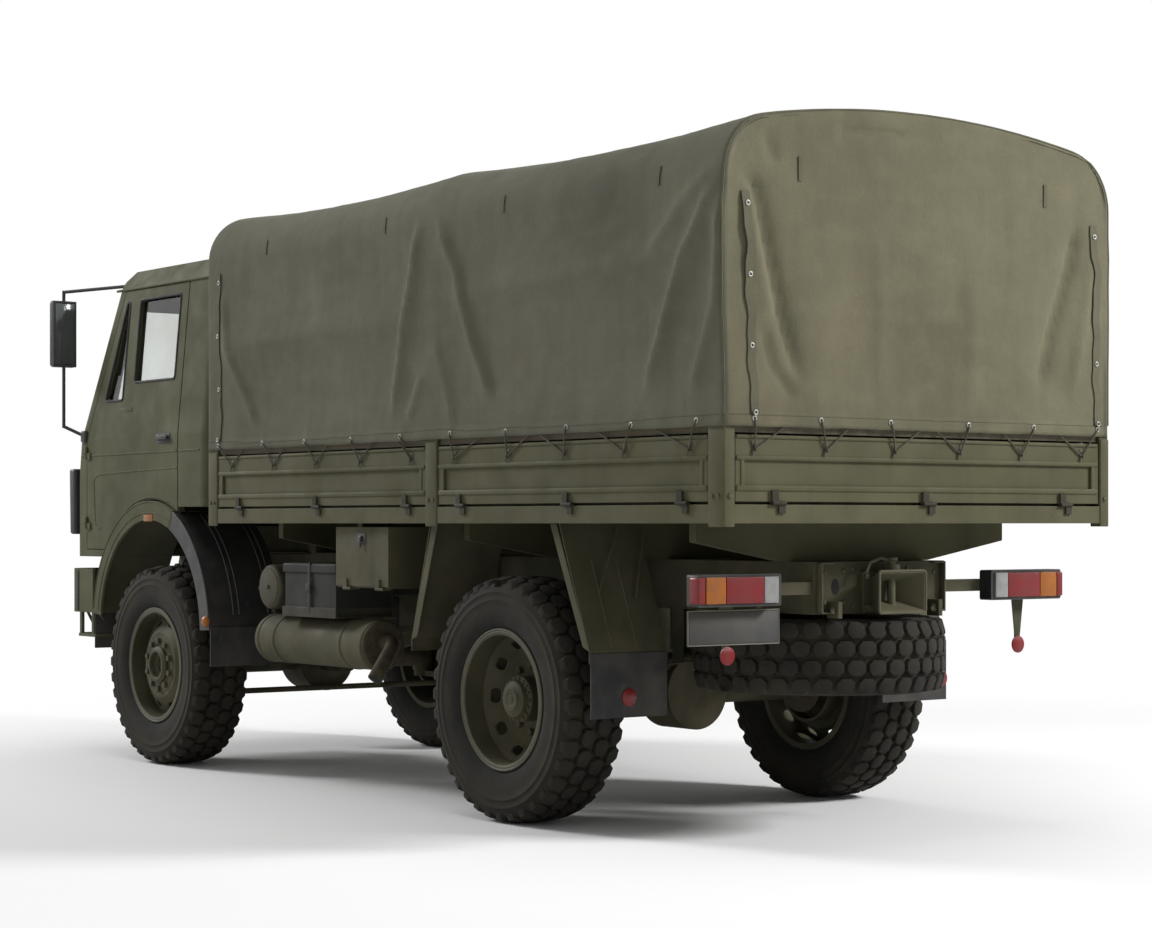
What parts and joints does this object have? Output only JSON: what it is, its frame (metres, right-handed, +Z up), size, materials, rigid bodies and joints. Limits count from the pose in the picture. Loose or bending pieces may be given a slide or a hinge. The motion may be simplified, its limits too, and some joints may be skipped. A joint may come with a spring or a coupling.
{
  "type": "military cargo truck",
  "caption": "Olive forward-control cargo truck with knobbly tyres, drop sides, a tailgate and a laced canvas cover over bows; its cab tilts and its doors open.",
  "frame": {"origin": "on the ground under the middle of the truck's length and width", "axes": "+X forward along the truck, +Y to its left, +Z up"},
  "size_m": [6.93, 2.76, 3.4544],
  "materials": {
    "olive_paint": "matt",
    "canvas": "weathered cloth",
    "tyre_rubber": "dusty",
    "rubber": "matt",
    "black_plastic": "matt",
    "glass": "clear",
    "lens": "gloss",
    "headlamp_glass": "gloss",
    "wood": "weathered",
    "cast_iron": "greasy",
    "seat_cloth": "woven",
    "dark_paint": "satin"
  },
  "bodies": {
    "chassis": {"ladder_frame": "olive_paint", "leaf_springs": "olive_paint", "front_axle": "olive_paint", "rear_axle": "olive_paint", "powertrain": "cast_iron", "front_bumper": "olive_paint", "headlamps": "headlamp_glass", "fuel_tank": "olive_paint", "muffler": "olive_paint", "battery_box": "olive_paint", "air_drum": "olive_paint", "tool_locker": "olive_paint", "front_mudguards": "black_plastic", "rear_mudguards": "olive_paint", "mud_flaps": "rubber", "spare_tyre": "tyre_rubber", "spare_rim": "olive_paint", "tow_jaw": "olive_paint", "lamp_brackets": "olive_paint", "tail_lamps": "lens", "bed_frame": "olive_paint", "bed_floor": "wood", "bed_posts": "olive_paint", "side_slats": "wood", "canopy_bows": "olive_paint", "canopy": "canvas"},
    "cab": {"cab_front": "olive_paint", "windscreen": "glass", "cab_back": "olive_paint", "cab_roof": "olive_paint", "cab_floor": "olive_paint", "grille": "dark_paint", "dashboard": "black_plastic", "cab_fittings": "dark_paint", "seats": "seat_cloth", "mirrors": "dark_paint"},
    "door_left": {"door_left": "olive_paint", "door_glass_left": "glass"},
    "door_right": {"door_right": "olive_paint", "door_glass_right": "glass"},
    "steering_wheel": {"steering_wheel": "black_plastic"},
    "knuckle_left": {"knuckle_left": "olive_paint"},
    "knuckle_right": {"knuckle_right": "olive_paint"},
    "tie_rod": {"tie_rod": "olive_paint"},
    "tailgate": {"tailgate": "olive_paint"},
    "locker_lid": {"locker_lid": "olive_paint"},
    "wheel_front_left": {"tyre_front_left": "tyre_rubber", "rim_front_left": "olive_paint"},
    "wheel_front_right": {"tyre_front_right": "tyre_rubber", "rim_front_right": "olive_paint"},
    "wheel_rear_left": {"tyre_rear_left": "tyre_rubber", "rim_rear_left": "olive_paint"},
    "wheel_rear_right": {"tyre_rear_right": "tyre_rubber", "rim_rear_right": "olive_paint"},
    "side_board_rear_left": {"side_board_rear_left": "olive_paint"},
    "side_board_rear_right": {"side_board_rear_right": "olive_paint"},
    "side_board_front_left": {"side_board_front_left": "olive_paint"},
    "side_board_front_right": {"side_board_front_right": "olive_paint"}
  },
  "joints": [
    {"name": "steer_left", "type": "hinge", "parent": "chassis", "child": "knuckle_left", "pos_m": [2.266, 0.83, 0.625], "axis": [0, 0, 1], "range_deg": [-32, 32]},
    {"name": "steer_right", "type": "hinge", "parent": "chassis", "child": "knuckle_right", "pos_m": [2.266, -0.83, 0.625], "axis": [0, 0, 1], "range_deg": [-32, 32]},
    {"name": "tie_rod_swing", "type": "hinge", "parent": "knuckle_left", "child": "tie_rod", "pos_m": [2.046, 0.83, 0.452], "axis": [0, 0, 1], "range_deg": [-32, 32]},
    {"name": "steering_wheel_turn", "type": "hinge", "parent": "cab", "child": "steering_wheel", "pos_m": [2.5, 0.66, 2.35], "axis": [-0.5, 0, 0.866], "range_deg": [-576, 576]},
    {"name": "wheel_front_left_spin", "type": "hinge", "parent": "knuckle_left", "child": "wheel_front_left", "pos_m": [2.266, 1.02, 0.625], "axis": [0, 1, 0], "continuous": true},
    {"name": "wheel_front_right_spin", "type": "hinge", "parent": "knuckle_right", "child": "wheel_front_right", "pos_m": [2.266, -1.02, 0.625], "axis": [0, 1, 0], "continuous": true},
    {"name": "wheel_rear_left_spin", "type": "hinge", "parent": "chassis", "child": "wheel_rear_left", "pos_m": [-1.584, 1.02, 0.625], "axis": [0, 1, 0], "continuous": true},
    {"name": "wheel_rear_right_spin", "type": "hinge", "parent": "chassis", "child": "wheel_rear_right", "pos_m": [-1.584, -1.02, 0.625], "axis": [0, 1, 0], "continuous": true},
    {"name": "cab_tilt", "type": "hinge", "parent": "chassis", "child": "cab", "pos_m": [3.4, 0, 1.215], "axis": [0, 1, 0], "range_deg": [0, 60]},
    {"name": "door_left_swing", "type": "hinge", "parent": "cab", "child": "door_left", "pos_m": [3.198, 1.211, 2], "axis": [0, 0, -1], "range_deg": [0, 70]},
    {"name": "door_right_swing", "type": "hinge", "parent": "cab", "child": "door_right", "pos_m": [3.198, -1.211, 2], "axis": [0, 0, 1], "range_deg": [0, 70]},
    {"name": "tailgate_drop", "type": "hinge", "parent": "chassis", "child": "tailgate", "pos_m": [-3.455, 0, 1.609], "axis": [0, -1, 0], "range_deg": [0, 178]},
    {"name": "locker_lid_drop", "type": "hinge", "parent": "chassis", "child": "locker_lid", "pos_m": [-0.275, 1.206, 1.16], "axis": [-1, 0, 0], "range_deg": [0, 110]},
    {"name": "side_board_rear_left_drop", "type": "hinge", "parent": "chassis", "child": "side_board_rear_left", "pos_m": [-2.224, 1.261, 1.609], "axis": [-1, 0, 0], "range_deg": [0, 178]},
    {"name": "side_board_rear_right_drop", "type": "hinge", "parent": "chassis", "child": "side_board_rear_right", "pos_m": [-2.224, -1.261, 1.609], "axis": [1, 0, 0], "range_deg": [0, 178]},
    {"name": "side_board_front_left_drop", "type": "hinge", "parent": "chassis", "child": "side_board_front_left", "pos_m": [0.146, 1.261, 1.609], "axis": [-1, 0, 0], "range_deg": [0, 178]},
    {"name": "side_board_front_right_drop", "type": "hinge", "parent": "chassis", "child": "side_board_front_right", "pos_m": [0.146, -1.261, 1.609], "axis": [1, 0, 0], "range_deg": [0, 178]}
  ],
  "couplings": [
    {"joint": "steer_right", "follows": "steer_left", "ratio": 1},
    {"joint": "tie_rod_swing", "follows": "steer_left", "ratio": -1},
    {"joint": "steering_wheel_turn", "follows": "steer_left", "ratio": 18}
  ]
}
